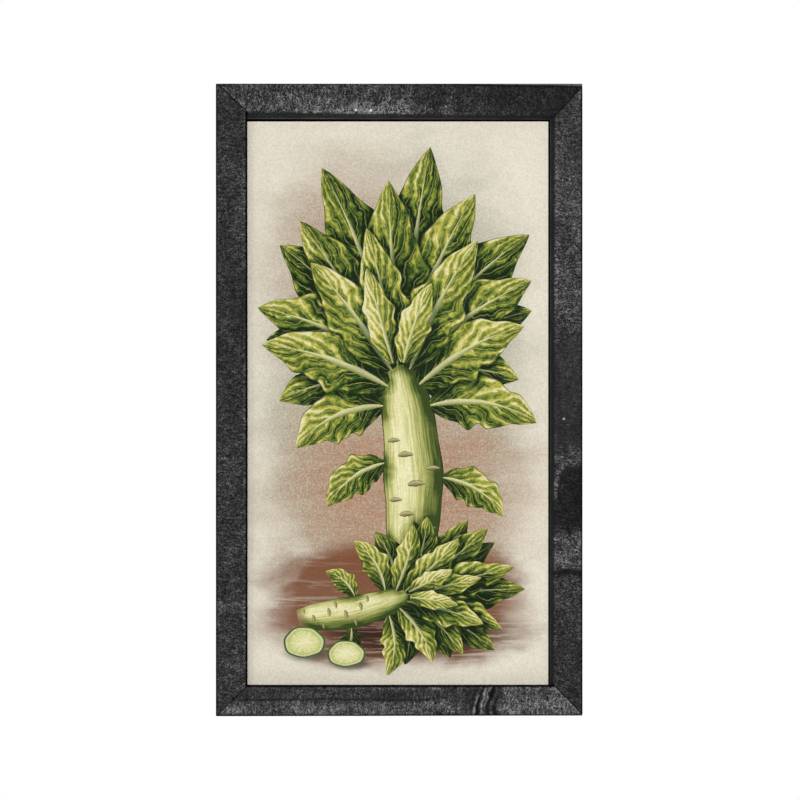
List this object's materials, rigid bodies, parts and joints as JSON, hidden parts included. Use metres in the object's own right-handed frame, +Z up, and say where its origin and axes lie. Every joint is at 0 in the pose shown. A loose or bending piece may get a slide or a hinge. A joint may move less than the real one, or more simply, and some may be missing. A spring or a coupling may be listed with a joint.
{
  "type": "framed print",
  "caption": "Tall framed botanical print: a printed sheet on black board in a mitred frame of rough-sawn black-stained timber, hung from a sawtooth hanger.",
  "frame": {"origin": "the point of the wall where the hanging nail goes in, under the hanger's middle notch", "axes": "+Z up the picture, +Y from the picture into the wall, so the picture faces -Y; +X to the right seen from the front"},
  "size_m": [0.38, 0.025, 0.656],
  "materials": {
    "stained_wood": "rough-sawn, stained black",
    "print_paper": "matte print on cream stock",
    "black_board": "matte black face",
    "hardboard": "tempered hardboard",
    "zinc_steel": "zinc plated",
    "bumper_rubber": "matte"
  },
  "bodies": {
    "root": {"rail_top": "stained_wood", "rail_right": "stained_wood", "rail_bottom": "stained_wood", "rail_left": "stained_wood", "print_sheet": "print_paper", "mount_board": "black_board", "backing_board": "hardboard", "point_top_1": "zinc_steel", "point_top_2": "zinc_steel", "point_right_1": "zinc_steel", "point_right_2": "zinc_steel", "point_right_3": "zinc_steel", "point_bottom_1": "zinc_steel", "point_bottom_2": "zinc_steel", "point_left_1": "zinc_steel", "point_left_2": "zinc_steel", "point_left_3": "zinc_steel", "vnail_top_left_1": "zinc_steel", "vnail_top_left_2": "zinc_steel", "vnail_top_right_1": "zinc_steel", "vnail_top_right_2": "zinc_steel", "vnail_bottom_right_1": "zinc_steel", "vnail_bottom_right_2": "zinc_steel", "vnail_bottom_left_1": "zinc_steel", "vnail_bottom_left_2": "zinc_steel", "hanger": "zinc_steel", "hanger_nail_left": "zinc_steel", "hanger_nail_right": "zinc_steel", "bumper_left": "bumper_rubber", "bumper_right": "bumper_rubber"}
  },
  "joints": []
}
